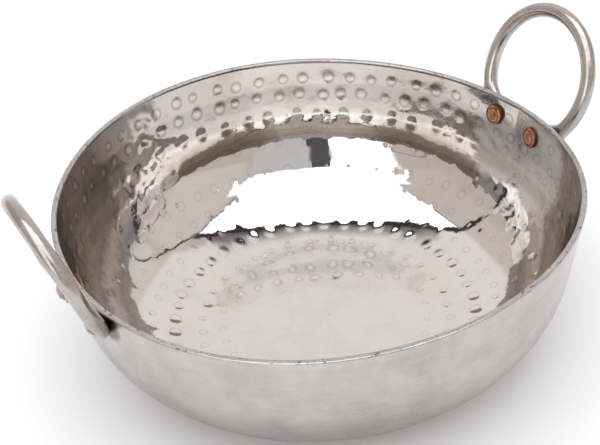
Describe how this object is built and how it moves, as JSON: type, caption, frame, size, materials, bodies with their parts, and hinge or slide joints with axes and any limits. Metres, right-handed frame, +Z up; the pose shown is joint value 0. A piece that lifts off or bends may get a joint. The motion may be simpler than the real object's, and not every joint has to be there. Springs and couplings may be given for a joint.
{
  "type": "kadai",
  "caption": "Deep round steel pan with a hammered, mirror-bright inside, a satin outside and upright ring handles held by copper rivets.",
  "frame": {"origin": "centre of the flat underneath that the pan stands on", "axes": "+Z up, out of the pan's mouth; the handles lie along X, the right one at +X; front is -Y"},
  "size_m": [0.3208, 0.2698, 0.1401],
  "materials": {
    "hammered_steel": "polished and hammered inside, satin outside",
    "steel_bar": "satin, drawn lengthwise",
    "copper": "raw copper, peened and lightly tarnished"
  },
  "bodies": {
    "root": {"bowl": "hammered_steel", "handle_right": "steel_bar", "handle_left": "steel_bar", "rivet_right_back": "copper", "rivet_right_front": "copper", "rivet_left_back": "copper", "rivet_left_front": "copper"}
  },
  "joints": []
}
